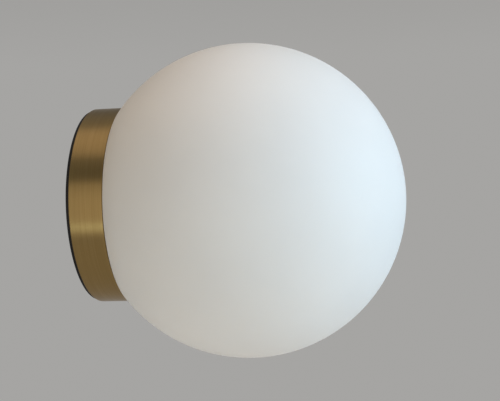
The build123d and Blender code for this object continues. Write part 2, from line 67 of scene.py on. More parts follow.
Point = tuple[float, float]
Run = tuple[Vector, Vector]
Colour = tuple[float, float, float]
Piece = bpy.types.Object
Socket = bpy.types.NodeSocket
Sockets = bpy.types.bpy_prop_collection
Value = Union[Socket, float, Colour]
Inputs = dict[Union[int, str], Value]

MM = 0.001
QUARTER_TURN = math.pi / 2
HALF_TURN = math.pi
FULL_TURN = 2 * math.pi
OUTWARDS = Vector((0.0, -1.0, 0.0))
UPWARDS = Vector((0.0, 0.0, 1.0))
WHOLE: Point = (0.0, 1.0)
# Points nearer than this are merged.
WELD = 0.002 * MM
# Edges that bend more than this stay sharp.
CREASE = math.radians(35.0)
# Each copy of a screw is turned this much further than the one before.
COPY_TURN = math.radians(137.5)


class Slot(Enum):
    """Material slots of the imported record."""

    OPAL_GLASS = "opal_glass"
    SATIN_BRASS = "satin_brass"
    BLACK_PAINT = "black_paint"
    RING_ALUMINIUM = "ring_aluminium"
    SILICONE = "silicone"
    BLACK_RUBBER = "black_rubber"
    ZINC_STEEL = "zinc_steel"
    BARE_BRASS = "bare_brass"
    NICKEL_SHELL = "nickel_shell"
    PORCELAIN = "porcelain"
    WHITE_NYLON = "white_nylon"
    BULB_PLASTIC = "bulb_plastic"
    BULB_OPAL = "bulb_opal"
    BLACK_INSULATOR = "black_insulator"
    BROWN_LEAD = "brown_lead"
    BLUE_LEAD = "blue_lead"


class Drive(Enum):
    """What a screw is turned by."""

    SLOT = "slot"
    HEX_SOCKET = "hex_socket"


class Effect(Enum):
    """Surface effects that several finishes share, named as the methods that build them."""

    GRAIN = "fine_grain"
    TURNED_LINES = "turned_lines"
    SMUDGES = "handling_smudges"


SLOTS: dict[str, Slot] = {
    part["node"]: Slot(part["material_slot"]) for part in frame["record"]["subparts"]
}
BODIES: dict[str, str] = {
    node: body for body, nodes in frame["record"]["behaviour"]["bodies"].items() for node in nodes
}


def node_back(node: str) -> float:
    """Return the depth of a CAD node's back."""
    return -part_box(node)[1].y


def node_front(node: str) -> float:
    """Return the depth of a CAD node's front."""
    return -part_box(node)[0].y


def node_radius(node: str) -> float:
    """Return the outer radius of a round CAD node on the lamp's axis."""
    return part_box(node)[1].x


class Graph:
    """Short-hand for one shader node tree: adds nodes, fills their inputs and links them."""

    # The mix node has several sockets of one name, so its colour sockets go by their index.
    MIX_FIRST = 6
    MIX_SECOND = 7
    MIX_RESULT = 2

    def __init__(self, tree: bpy.types.NodeTree) -> None:
        """Work on a tree."""
        self.tree = tree

    def feed(self, node: bpy.types.Node, inputs: Inputs) -> None:
        """Fill inputs of a node, by a link or with a constant.

        Args:
            node: the node to fill.
            inputs: another node's socket, or a constant, for each input's index or name.
        """
        for key, value in inputs.items():
            socket = node.inputs[key]
            if isinstance(value, Socket):
                self.tree.links.new(value, socket)
            elif isinstance(value, tuple) and socket.type == "RGBA":
                socket.default_value = (*value, 1.0)
            else:
                socket.default_value = value

    def node(self, kind: str, inputs: Optional[Inputs] = None, **settings: Any) -> bpy.types.Node:
        """Add a node.

        Args:
            kind: Blender's type name of the node.
            inputs: what its inputs are filled with.
            settings: properties of the node to set.

        Returns:
            The new node.
        """
        made = self.tree.nodes.new(kind)
        for name, value in settings.items():
            setattr(made, name, value)
        self.feed(made, inputs or {})
        return made

    def math(self, operation: str, first: Value, second: Value = 0.0) -> Socket:
        """Calculate with two values and return the result's socket."""
        return self.node("ShaderNodeMath", {0: first, 1: second}, operation=operation).outputs[0]

    def remap(
        self, value: Value, source: Point = WHOLE, target: Point = WHOLE, smooth: bool = False
    ) -> Socket:
        """Map a value from one range to another.

        Args:
            value: the value to map.
            source: its range.
            target: the range to map it to.
            smooth: whether the ends are eased.

        Returns:
            The socket of the mapped value.
        """
        ease = "SMOOTHSTEP" if smooth else "LINEAR"
        numbers = dict(enumerate((value, *source, *target)))
        return self.node("ShaderNodeMapRange", numbers, interpolation_type=ease).outputs[0]

    def mix(self, factor: Value, first: Value, second: Value, blend: str = "MIX") -> Socket:
        """Mix two colours, or blend them in another way.

        Args:
            factor: the second colour's share.
            first: the first colour.
            second: the second colour.
            blend: Blender's name of the way.

        Returns:
            The socket of the mixed colour.
        """
        colours: Inputs = {0: factor, self.MIX_FIRST: first, self.MIX_SECOND: second}
        node = self.node("ShaderNodeMix", colours, data_type="RGBA", blend_type=blend)
        return node.outputs[self.MIX_RESULT]

    def noise(self, vector: Value, scale: Value, detail: float) -> Socket:
        """Add a noise of a scale per metre and return its value's socket."""
        inputs: Inputs = {"Vector": vector, "Scale": scale, "Detail": detail}
        return self.node("ShaderNodeTexNoise", inputs).outputs["Fac"]

    def split(self, vector: Value) -> Sockets:
        """Split a vector and return the sockets of its three parts."""
        return self.node("ShaderNodeSeparateXYZ", {0: vector}).outputs

    def join(self, x: Value, y: Value, z: Value) -> Socket:
        """Join three values and return the vector's socket."""
        return self.node("ShaderNodeCombineXYZ", {0: x, 1: y, 2: z}).outputs[0]

    def place(self, effect: Effect, **inputs: Value) -> Sockets:
        """Place a shared effect, fill its inputs and return the sockets of its outputs."""
        return self.node("ShaderNodeGroup", inputs, node_tree=EffectLibrary.tree(effect)).outputs


class EffectLibrary:
    """Builds each shared effect once, as a shader node group."""

    CLOUD_RANGE: Point = (0.3, 0.7)
    LINE_RANGE: Point = (0.32, 0.68)
    PATCH_RANGE: Point = (0.48, 0.72)
    LINE_SHARE = 0.65
    STREAK_PACE = 0.4
    STREAK_SCALE = 0.6

    @classmethod
    def tree(cls, effect: Effect) -> bpy.types.NodeTree:
        """Return the node group of an effect, building it when it is first asked for."""
        return bpy.data.node_groups.get(effect.value) or getattr(cls, effect.value)()

    @staticmethod
    def start(effect: Effect, **numbers: float) -> tuple[Graph, Sockets]:
        """Start the node group of an effect, which reads a place.

        Args:
            effect: the effect to build.
            numbers: its number inputs, with their defaults.

        Returns:
            Its graph, and the sockets of its inputs.
        """
        tree = bpy.data.node_groups.new(effect.value, "ShaderNodeTree")
        tree.interface.new_socket("Vector", in_out="INPUT", socket_type="NodeSocketVector")
        for label, default in numbers.items():
            socket = tree.interface.new_socket(label, in_out="INPUT", socket_type="NodeSocketFloat")
            socket.default_value = default
        graph = Graph(tree)
        return graph, graph.node("NodeGroupInput").outputs

    @staticmethod
    def end(graph: Graph, **results: Value) -> bpy.types.NodeTree:
        """Give a node group its outputs.

        Args:
            graph: the group's graph.
            results: what each output puts out.

        Returns:
            The finished group.
        """
        for label in results:
            graph.tree.interface.new_socket(label, in_out="OUTPUT", socket_type="NodeSocketFloat")
        graph.node("NodeGroupOutput", results)
        return graph.tree

    @classmethod
    def fine_grain(cls) -> bpy.types.NodeTree:
        """Build an even grain: a fine height, and a slower tone.

        Returns:
            The new group.
        """
        graph, given = cls.start(Effect.GRAIN, Scale=1000.0, Cloud=40.0)
        fine = graph.noise(given["Vector"], given["Scale"], detail=2.0)
        cloud = graph.noise(given["Vector"], given["Cloud"], detail=4.0)
        return cls.end(graph, Height=fine, Tone=graph.remap(cloud, cls.CLOUD_RANGE, smooth=True))

    @classmethod
    def turned_lines(cls) -> bpy.types.NodeTree:
        """Build fine lines that run round the lamp's axis, with broken ends and slow streaks.

        Returns:
            The new group.
        """
        graph, given = cls.start(Effect.TURNED_LINES, Lines=4000.0, Run=25.0)
        x, y, z = graph.split(given["Vector"])
        along = graph.math("MULTIPLY", y, given["Lines"])
        slow = graph.math("MULTIPLY", along, cls.STREAK_PACE)
        round_x, round_z = (graph.math("MULTIPLY", part, given["Run"]) for part in (x, z))
        fine = graph.noise(graph.join(round_x, along, round_z), scale=1.0, detail=4.0)
        streak = graph.noise(graph.join(round_x, slow, round_z), cls.STREAK_SCALE, detail=3.0)
        shares = ((fine, cls.LINE_SHARE), (streak, 1 - cls.LINE_SHARE))
        blend = graph.math("ADD", *(graph.math("MULTIPLY", value, share) for value, share in shares))
        return cls.end(graph, Height=fine, Tone=graph.remap(blend, cls.LINE_RANGE))

    @classmethod
    def handling_smudges(cls) -> bpy.types.NodeTree:
        """Build soft patches where hands or dust have dulled a surface.

        Returns:
            The new group.
        """
        graph, given = cls.start(Effect.SMUDGES, Scale=30.0, Amount=1.0)
        patch = graph.noise(given["Vector"], given["Scale"], detail=5.0)
        mask = graph.remap(patch, cls.PATCH_RANGE, smooth=True)
        return cls.end(graph, Mask=graph.math("MULTIPLY", mask, given["Amount"]))


@dataclass(frozen=True)
class Finish:
    """A surface finish: two shades of its colour, its gloss and its grain."""

    name: str
    colour: Colour
    shade: Colour
    roughness: float
    roughness_spread: float = 0.06
    grain_scale: float = 1500.0
    cloud_scale: float = 40.0
    grain_depth: float = 0.03 * MM
    metallic: float = 0.0
    specular: float = 0.5

    def material(self) -> bpy.types.Material:
        """Return the finish's material, building it when it is first asked for."""
        return bpy.data.materials.get(self.name) or self.build()

    def build(self) -> bpy.types.Material:
        """Build the material from the finish's pattern.

        Returns:
            The new material.
        """
        made = bpy.data.materials.new(self.name)
        made.use_nodes = True
        graph = Graph(made.node_tree)
        place = graph.node("ShaderNodeTexCoord").outputs["Object"]
        height, tone = self.pattern(graph, place)
        relief: Inputs = {"Strength": 1.0, "Distance": self.grain_depth, "Height": height}
        gloss = (self.roughness - self.roughness_spread, self.roughness + self.roughness_spread)
        surface = {
            "Base Color": self.coat(graph, place, tone),
            "Roughness": graph.remap(tone, target=gloss),
            "Metallic": self.metallic,
            "Specular IOR Level": self.specular,
            "Normal": graph.node("ShaderNodeBump", relief).outputs["Normal"],
        }
        graph.feed(made.node_tree.nodes["Principled BSDF"], {**surface, **self.polish(graph)})
        return made

    def pattern(self, graph: Graph, place: Socket) -> Sockets:
        """Return the height and tone of an even grain."""
        return graph.place(Effect.GRAIN, Vector=place, Scale=self.grain_scale, Cloud=self.cloud_scale)

    def coat(self, graph: Graph, place: Socket, tone: Socket) -> Socket:
        """Return the colour, between the two shades by the tone."""
        return graph.mix(tone, self.colour, self.shade)

    def polish(self, graph: Graph) -> Inputs:
        """Return what else a kind of finish sets; a plain one sets nothing more."""
        return {}


@dataclass(frozen=True)
class SatinOpal(Finish):
    """Etched opal glass: white through its thickness, with a soft satin skin."""

    roughness_spread: float = 0.04
    grain_depth: float = 0.004 * MM
    glow: float = 0.25
    glow_radius: float = 6 * MM
    glow_tint: Colour = (1.0, 0.98, 0.95)
    refraction: float = 1.5

    def polish(self, graph: Graph) -> Inputs:
        """Let light bleed a little through the white glass.

        Args:
            graph: the material's graph, not used here.

        Returns:
            What it sets on the shader.
        """
        return {
            "Subsurface Weight": self.glow,
            "Subsurface Radius": self.glow_tint,
            "Subsurface Scale": self.glow_radius,
            "IOR": self.refraction,
        }


@dataclass(frozen=True)
class Metal(Finish):
    """Pressed or plated metal with faint dull patches."""

    grain_scale: float = 2600.0
    cloud_scale: float = 160.0
    grain_depth: float = 0.01 * MM
    metallic: float = 1.0
    dull: Colour = (0.4, 0.38, 0.34)
    dulling: float = 0.4
    patch_scale: float = 90.0

    def coat(self, graph: Graph, place: Socket, tone: Socket) -> Socket:
        """Return the metal's colour with dull patches."""
        mask = graph.place(Effect.SMUDGES, Vector=place, Scale=self.patch_scale, Amount=self.dulling)
        return graph.mix(mask["Mask"], super().coat(graph, place, tone), self.dull)


@dataclass(frozen=True)
class TurnedMetal(Metal):
    """Metal brushed or turned round the lamp's axis, with soft patches of tarnish."""

    dull: Colour = (0.2, 0.12, 0.05)
    dulling: float = 0.2
    patch_scale: float = 22.0
    lines: float = 4000.0
    run: float = 25.0
    stretch: float = 0.7
    stretch_turn: float = 0.25

    def pattern(self, graph: Graph, place: Socket) -> Sockets:
        """Return the height and tone of fine lines round the axis."""
        return graph.place(Effect.TURNED_LINES, Vector=place, Lines=self.lines, Run=self.run)

    def polish(self, graph: Graph) -> Inputs:
        """Stretch highlights across the lines."""
        tangent = graph.node("ShaderNodeTangent", direction_type="RADIAL", axis="Y").outputs["Tangent"]
        return {"Anisotropic": self.stretch, "Anisotropic Rotation": self.stretch_turn, "Tangent": tangent}


@dataclass(frozen=True)
class Glazed(Finish):
    """Fired porcelain under a clear glaze."""

    glaze: float = 0.6
    glaze_roughness: float = 0.06

    def polish(self, graph: Graph) -> Inputs:
        """Lay the clear glaze over the body."""
        return {"Coat Weight": self.glaze, "Coat Roughness": self.glaze_roughness}


@dataclass(frozen=True)
class LeadSleeve(Finish):
    """Smooth plastic sleeve of a lead."""

    roughness: float = 0.4
    grain_scale: float = 2400.0
    cloud_scale: float = 200.0
    grain_depth: float = 0.02 * MM


FINISHES: dict[Slot, Finish] = {
    Slot.OPAL_GLASS: SatinOpal(
        "Satin opal glass", (0.81, 0.82, 0.82), (0.84, 0.845, 0.84),
        roughness=0.46, grain_scale=2500.0, cloud_scale=14.0,
    ),
    Slot.SATIN_BRASS: TurnedMetal(
        "Brushed antique brass", (0.41, 0.285, 0.12), (0.34, 0.23, 0.09),
        roughness=0.33, roughness_spread=0.04, grain_depth=0.008 * MM, dulling=0.12, stretch=0.85,
    ),
    # The plate's black is set darker than the paint's own colour: partly real black paint, partly painted
    # shade for the shade a wall casts on its edge.
    Slot.BLACK_PAINT: Finish(
        "Black powder paint and painted shade", (0.008, 0.008, 0.009), (0.014, 0.013, 0.013), roughness=0.55,
        roughness_spread=0.08, grain_scale=2200.0, cloud_scale=60.0, grain_depth=0.06 * MM, specular=0.25,
    ),
    Slot.RING_ALUMINIUM: TurnedMetal(
        "Turned aluminium", (0.62, 0.62, 0.63), (0.48, 0.48, 0.49),
        roughness=0.34, grain_depth=0.02 * MM, dull=(0.36, 0.36, 0.37), lines=2500.0,
    ),
    Slot.SILICONE: Finish(
        "Clear silicone", (0.62, 0.61, 0.57), (0.70, 0.69, 0.65),
        roughness=0.42, grain_scale=900.0, cloud_scale=80.0,
    ),
    Slot.BLACK_RUBBER: Finish(
        "Black rubber", (0.016, 0.016, 0.016), (0.03, 0.029, 0.028), roughness=0.72,
        roughness_spread=0.08, grain_scale=1600.0, cloud_scale=120.0, grain_depth=0.05 * MM,
    ),
    Slot.ZINC_STEEL: Metal(
        "Zinc plated steel", (0.58, 0.58, 0.57), (0.47, 0.48, 0.49), roughness=0.36, roughness_spread=0.09
    ),
    Slot.BARE_BRASS: Metal(
        "Bare brass", (0.66, 0.49, 0.20), (0.55, 0.38, 0.14),
        roughness=0.33, roughness_spread=0.08, dull=(0.30, 0.20, 0.09),
    ),
    Slot.NICKEL_SHELL: Metal(
        "Nickel plate", (0.66, 0.64, 0.60), (0.56, 0.54, 0.50), roughness=0.24, grain_depth=0.008 * MM
    ),
    Slot.PORCELAIN: Glazed(
        "Glazed porcelain", (0.77, 0.76, 0.72), (0.72, 0.70, 0.65),
        roughness=0.38, roughness_spread=0.05, grain_scale=700.0, cloud_scale=90.0,
    ),
    Slot.WHITE_NYLON: Finish(
        "White nylon", (0.70, 0.69, 0.65), (0.64, 0.63, 0.58),
        roughness=0.48, grain_scale=1800.0, cloud_scale=110.0,
    ),
    Slot.BULB_PLASTIC: Finish(
        "White bulb housing", (0.74, 0.74, 0.72), (0.70, 0.70, 0.67),
        roughness=0.36, roughness_spread=0.05, cloud_scale=70.0, grain_depth=0.015 * MM,
    ),
    Slot.BULB_OPAL: SatinOpal(
        "Opal bulb", (0.80, 0.79, 0.75), (0.83, 0.82, 0.79), roughness=0.36, grain_scale=1800.0
    ),
    Slot.BLACK_INSULATOR: Finish(
        "Black insulator", (0.014, 0.012, 0.011), (0.03, 0.026, 0.022), roughness=0.3,
        roughness_spread=0.08, grain_scale=1400.0, cloud_scale=150.0, grain_depth=0.02 * MM,
    ),
    Slot.BROWN_LEAD: LeadSleeve("Brown lead", (0.075, 0.026, 0.012), (0.095, 0.036, 0.018)),
    Slot.BLUE_LEAD: LeadSleeve("Blue lead", (0.012, 0.055, 0.20), (0.02, 0.075, 0.25)),
}


def dress(*nodes: str) -> None:
    """Give CAD nodes the finishes of their slots.

    Args:
        nodes: the nodes that are shown as they are.
    """
    for node in nodes:
        finish = FINISHES[SLOTS[node]]
        for holder in frame["nodes"][node].material_slots:
            holder.material = finish.material()
        log.info("%s dressed as %s", node, finish.name)


class Bench:
    """Hand tools for mesh pieces that are turned round the lamp's axis or wound along it."""

    @staticmethod
    def arc(centre: Point, radius: float, start: float, end: float, steps: int = 3) -> list[Point]:
        """Work out points of an arc in the section through the axis.

        Args:
            centre: depth and radius of the arc's centre.
            radius: radius of the arc.
            start: angle of its first point, from the direction of depth towards that of radius.
            end: angle of its last point.
            steps: how many spans it is divided into.

        Returns:
            The points, as depth and radius.
        """
        angles = [start + (end - start) * step / steps for step in range(steps + 1)]
        return [
            (centre[0] + radius * math.cos(angle), centre[1] + radius * math.sin(angle))
            for angle in angles
        ]

    @staticmethod
    def begin() -> None:
        """Leave edit mode and deselect everything, ready for a new primitive."""
        if bpy.context.object and bpy.context.object.mode != "OBJECT":
            bpy.ops.object.mode_set(mode="OBJECT")
        bpy.ops.object.select_all(action="DESELECT")

    @staticmethod
    def settle(name: str) -> Piece:
        """Name the primitive just added and put its place into its mesh.

        Args:
            name: the piece's name.

        Returns:
            The new piece.
        """
        made = bpy.context.object
        made.name = name
        bpy.ops.object.transform_apply(location=True, rotation=True, scale=True)
        return made

    @classmethod
    def pick(cls, item: Piece) -> None:
        """Select one piece alone and make it active.

        Args:
            item: the piece to work on.
        """
        cls.begin()
        item.select_set(True)
        bpy.context.view_layer.objects.active = item

    @staticmethod
    def edit() -> None:
        """Enter edit mode with everything selected."""
        bpy.ops.object.mode_set(mode="EDIT")
        bpy.ops.mesh.select_all(action="SELECT")

    @staticmethod
    def close() -> None:
        """Merge doubles, face the mesh outwards and leave edit mode."""
        bpy.ops.mesh.select_all(action="SELECT")
        bpy.ops.mesh.remove_doubles(threshold=WELD)
        bpy.ops.mesh.normals_make_consistent(inside=False)
        bpy.ops.object.mode_set(mode="OBJECT")

    @classmethod
    def apply(cls, item: Piece, kind: str, **settings: Any) -> None:
        """Add a modifier to a piece and apply it.

        Args:
            item: the piece to change.
            kind: Blender's type name of the modifier.
            settings: properties of the modifier to set.
        """
        cls.pick(item)
        modifier = item.modifiers.new(kind.title(), kind)
        for name, value in settings.items():
            setattr(modifier, name, value)
        bpy.ops.object.modifier_apply(modifier=modifier.name)

    @staticmethod
    def draw(start: Point, points: Sequence[Point]) -> None:
        """Extrude the selected ring through points, scaling it to each radius.

        Args:
            start: depth and radius of the selected ring.
            points: depth and radius of each ring to come.
        """
        depth, radius = start
        for next_depth, next_radius in points:
            bpy.ops.mesh.extrude_region_move(
                TRANSFORM_OT_translate={"value": (0.0, depth - next_depth, 0.0)}
            )
            ratio = next_radius / radius
            bpy.ops.transform.resize(
                value=(ratio, 1.0, ratio), center_override=(0.0, -next_depth, 0.0)
            )
            depth, radius = next_depth, next_radius

    @classmethod
    def turn(
        cls, name: str, profile: Sequence[Point], segments: int = 128, ring: bool = True
    ) -> Piece:
        """Turn a profile into a round solid.

        Args:
            name: the piece's name.
            profile: its corners, as depth and radius, each once.
            segments: how many spans go round.
            ring: whether the profile closes on itself round a hole, or its two ends are filled.

        Returns:
            The new piece.
        """
        cls.begin()
        depth, radius = profile[0]
        bpy.ops.mesh.primitive_circle_add(
            vertices=segments,
            radius=radius,
            location=(0.0, -depth, 0.0),
            rotation=(QUARTER_TURN, 0.0, 0.0),
        )
        made = cls.settle(name)
        cls.edit()
        cls.draw(profile[0], [*profile[1:], *(profile[:1] if ring else ())])
        cls.close()
        if not ring:
            cls.cap_ends(made)
        return made

    @classmethod
    def wind(
        cls, name: str, section: Sequence[Point], pitch: float, turns: int, facets: int = 48
    ) -> Piece:
        """Wind a section along a right-hand helix round the axis.

        Args:
            name: the piece's name.
            section: its points, as depth and radius, at the start of the helix.
            pitch: how far out from the wall one turn goes.
            turns: number of whole turns.
            facets: how many spans one turn has.

        Returns:
            The new piece, with its ends still open.
        """
        cls.begin()
        depth, radius = section[0]
        bpy.ops.mesh.primitive_plane_add(size=MM, location=(radius, -depth, 0.0))
        made = cls.settle(name)
        cls.edit()
        bpy.ops.mesh.merge(type="CENTER")
        for next_depth, next_radius in section[1:]:
            step = (next_radius - radius, depth - next_depth, 0.0)
            bpy.ops.mesh.extrude_region_move(TRANSFORM_OT_translate={"value": step})
            depth, radius = next_depth, next_radius
        bpy.ops.mesh.select_all(action="SELECT")
        bpy.ops.mesh.remove_doubles(threshold=WELD)
        bpy.ops.object.mode_set(mode="OBJECT")
        cls.apply(
            made,
            "SCREW",
            axis="Y",
            angle=-FULL_TURN,
            screw_offset=-pitch,
            iterations=turns,
            steps=facets,
            render_steps=facets,
            use_merge_vertices=True,
            merge_threshold=WELD,
        )
        return made

    @classmethod
    def bead(cls, name: str, core: Point, radius: float, pitch: float, turns: int) -> Piece:
        """Wind a round bead along a right-hand helix.

        Args:
            name: the piece's name.
            core: depth and radius of the bead's middle, where it starts.
            radius: the bead's own radius.
            pitch: how far out from the wall one turn goes.
            turns: number of whole turns.

        Returns:
            The new bead, with its ends filled.
        """
        bead = cls.wind(name, cls.arc(core, radius, 0.0, FULL_TURN, steps=12), pitch, turns)
        cls.cap_ends(bead)
        return bead

    @classmethod
    def cut(cls, item: Piece, depth: float, keep_out: bool, slack: float = WELD) -> None:
        """Cut a piece square at a depth and leave the cut edge selected in edit mode.

        Args:
            item: the piece to cut.
            depth: where to cut it.
            keep_out: whether the part further from the wall stays.
            slack: how near the cut a point is moved onto it.
        """
        cls.pick(item)
        cls.edit()
        place = OUTWARDS * depth
        bpy.ops.mesh.bisect(
            plane_co=place,
            plane_no=OUTWARDS,
            clear_inner=keep_out,
            clear_outer=not keep_out,
            threshold=slack,
        )
        bpy.ops.transform.resize(value=(1.0, 0.0, 1.0), center_override=place)

    @classmethod
    def cap_ends(cls, item: Piece) -> None:
        """Fill every open end of a piece and face it outwards.

        Args:
            item: the piece to fill.
        """
        cls.pick(item)
        cls.edit()
        bpy.ops.mesh.select_mode(type="EDGE")
        bpy.ops.mesh.select_non_manifold(extend=False)
        bpy.ops.mesh.edge_face_add()
        bpy.ops.mesh.select_mode(type="VERT")
        cls.close()

    @classmethod
    def carve(cls, item: Piece, cutter: Piece) -> None:
        """Cut the shape of a cutter out of a piece."""
        cls.apply(item, "BOOLEAN", object=cutter, operation="DIFFERENCE", solver="EXACT")
        bpy.data.objects.remove(cutter)

    @classmethod
    def drill(cls, item: Piece, holes: Sequence[Run], radius: float, sides: int = 32) -> None:
        """Drill holes into a piece.

        Args:
            item: the piece to drill.
            holes: start and end of each hole.
            radius: radius of the holes, to their corners.
            sides: how many sides the holes have.
        """
        for start, end in holes:
            cls.begin()
            bpy.ops.mesh.primitive_cylinder_add(
                vertices=sides,
                radius=radius,
                depth=(end - start).length,
                location=(start + end) / 2,
                rotation=(end - start).to_track_quat("Z", "Y").to_euler(),
            )
            cls.carve(item, bpy.context.object)

    @classmethod
    def fuse(cls, main: Piece, *others: Piece) -> None:
        """Fuse pieces into a single closed mesh.

        Args:
            main: the piece that stays.
            others: the pieces that it takes up.
        """
        for other in others:
            cls.apply(main, "BOOLEAN", object=other, operation="UNION", solver="EXACT")
            bpy.data.objects.remove(other)
        cls.edit()
        cls.close()

    @classmethod
    def copies(cls, pattern: Piece, places: Sequence[Run]) -> None:
        """Copy a pattern that stands on the wall to its places, as one piece in its stead.

        Args:
            pattern: the piece to copy, along the lamp's axis with its foot on the wall.
            places: foot and direction of each copy, which is turned on its own axis too.
        """
        cls.begin()
        for count, (foot, direction) in enumerate(places):
            copy = bpy.data.objects.new(pattern.name, pattern.data.copy())
            bpy.context.collection.objects.link(copy)
            tightened = Quaternion(OUTWARDS, count * COPY_TURN)
            copy.rotation_euler = (OUTWARDS.rotation_difference(direction) @ tightened).to_euler()
            copy.location = foot
            copy.select_set(True)
            bpy.context.view_layer.objects.active = copy
        bpy.ops.object.transform_apply(location=True, rotation=True, scale=True)
        bpy.ops.object.join()
        pattern.data = bpy.context.object.data
        bpy.data.objects.remove(bpy.context.object)

    @classmethod
    def finish(cls, item: Piece, node: str) -> None:
        """Shade a piece, dress it, and let it ride in place of a CAD node.

        Args:
            item: the finished piece.
            node: the CAD node that it stands for.
        """
        cls.pick(item)
        bpy.ops.object.shade_smooth_by_angle(angle=CREASE)
        cls.apply(item, "WEIGHTED_NORMAL", keep_sharp=True)
        item.data.materials.clear()
        item.data.materials.append(FINISHES[SLOTS[node]].material())
        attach(item, BODIES[node])
        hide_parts(node)
        log.info("%s made, %d faces", item.name, len(item.data.polygons))


@dataclass(frozen=True)
class Thread:
    """A right-hand thread: a wave between two radii, with a crest on the +X side at the phase's depth."""

    crest: float
    root: float
    pitch: float
    phase: float = 0.0
    facets: int = 48
    steps: int = 10

    def rod(self, name: str, back: float, front: float) -> Piece:
        """Wind the thread into a solid rod with square-cut ends.

        Args:
            name: the piece's name.
            back: depth of the end nearer the wall.
            front: depth of the other end.

        Returns:
            The new rod.
        """
        start = self.phase - self.pitch * math.ceil((self.phase - back) / self.pitch + 1)
        turns = math.ceil((front - start) / self.pitch) + 1
        middle, swing = (self.crest + self.root) / 2, (self.crest - self.root) / 2
        step = self.pitch / self.steps
        wave = [
            (start + step * count, middle + swing * math.cos(FULL_TURN * count / self.steps))
            for count in range(self.steps + 1)
        ]
        rod = Bench.wind(name, wave, self.pitch, turns, self.facets)
        for depth, keep_out in ((back, True), (front, False)):
            Bench.cut(rod, depth, keep_out, slack=step / 4)
            Bench.close()
        Bench.cap_ends(rod)
        return rod

    def tube(self, name: str, back: float, front: float, sheet: float) -> Piece:
        """Roll the thread into a tube of sheet metal, open at both ends.

        Args:
            name: the piece's name.
            back: depth of the end nearer the wall.
            front: depth of the other end.
            sheet: the sheet's thickness.

        Returns:
            The new tube.
        """
        tube = self.rod(name, back, front)
        inside = replace(self, crest=self.crest - sheet, root=self.root - sheet)
        Bench.carve(tube, inside.rod("thread_inside", back - sheet, front + sheet))
        return tube


@dataclass(frozen=True)
class ScrewForm:
    """A machine screw: its thread, its head if it has one, and its drive."""

    radius: float
    pitch: float
    length: float
    head_radius: float = 0.0
    head_height: float = 0.0
    drive: Drive = Drive.SLOT
    drive_width: float = 0.9 * MM
    drive_depth: float = 1 * MM
    depth_per_pitch: float = 0.55

    @property
    def reach(self) -> float:
        """The screw's largest radius."""
        return max(self.radius, self.head_radius)

    def head(self) -> Piece:
        """Turn the round head.

        Returns:
            The new head, at its place on the screw.
        """
        rounding = min(self.head_height, self.head_radius) / 2
        centre = (self.length - rounding, self.head_radius - rounding)
        crown = Bench.arc(centre, rounding, QUARTER_TURN, 0.0, steps=6)
        foot = (self.length - self.head_height, self.head_radius)
        return Bench.turn("screw_head", [foot, *crown], segments=40, ring=False)

    def model(self, name: str) -> Piece:
        """Model the screw on the lamp's axis, with its foot on the wall.

        Args:
            name: the piece's name.

        Returns:
            The new screw.
        """
        shank = self.length - self.head_height / 2
        root = self.radius - self.depth_per_pitch * self.pitch
        screw = Thread(self.radius, root, self.pitch, facets=24, steps=6).rod(name, 0.0, shank)
        if self.head_height:
            Bench.fuse(screw, self.head())
        top, sunk = OUTWARDS * self.length, OUTWARDS * self.drive_depth
        if self.drive is Drive.HEX_SOCKET:
            Bench.drill(screw, [(top + sunk, top - sunk)], self.drive_width / math.sqrt(3), sides=6)
        else:
            Bench.begin()
            slot = (3 * self.reach, 2 * self.drive_depth, self.drive_width)
            bpy.ops.mesh.primitive_cube_add(size=1.0, location=top, scale=slot)
            Bench.carve(screw, bpy.context.object)
        return screw

    def corners(self, node: str, head_out: bool) -> list[Run]:
        """Find the equal screws of a CAD node, which stand in the corners of its box.

        Args:
            node: the CAD node of the screws.
            head_out: whether their heads face away from the wall.

        Returns:
            The foot of each screw, and the direction from its foot to its head.
        """
        low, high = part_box(node)
        foot = high.y if head_out else low.y
        direction = Vector((0.0, -1.0 if head_out else 1.0, 0.0))
        rows = []
        for start, end in ((low.x, high.x), (low.z, high.z)):
            first, last = start + self.reach, end - self.reach
            single = abs(last - first) < self.reach
            rows.append([(first + last) / 2] if single else [first, last])
        return [(Vector((x, foot, z)), direction) for x in rows[0] for z in rows[1]]

    def set_out(
        self, node: str, name: str, places: Sequence[Run] = (), head_out: bool = True
    ) -> None:
        """Model the screw once and copy it to its places, as one piece.

        Args:
            node: the CAD node that the piece stands for.
            name: the piece's name.
            places: foot and direction of each screw, if they aren't in the corners of the node's box.
            head_out: whether the heads of those in the corners face away from the wall.
        """
        screws = self.model(name)
        Bench.copies(screws, places or self.corners(node, head_out))
        Bench.finish(screws, node)


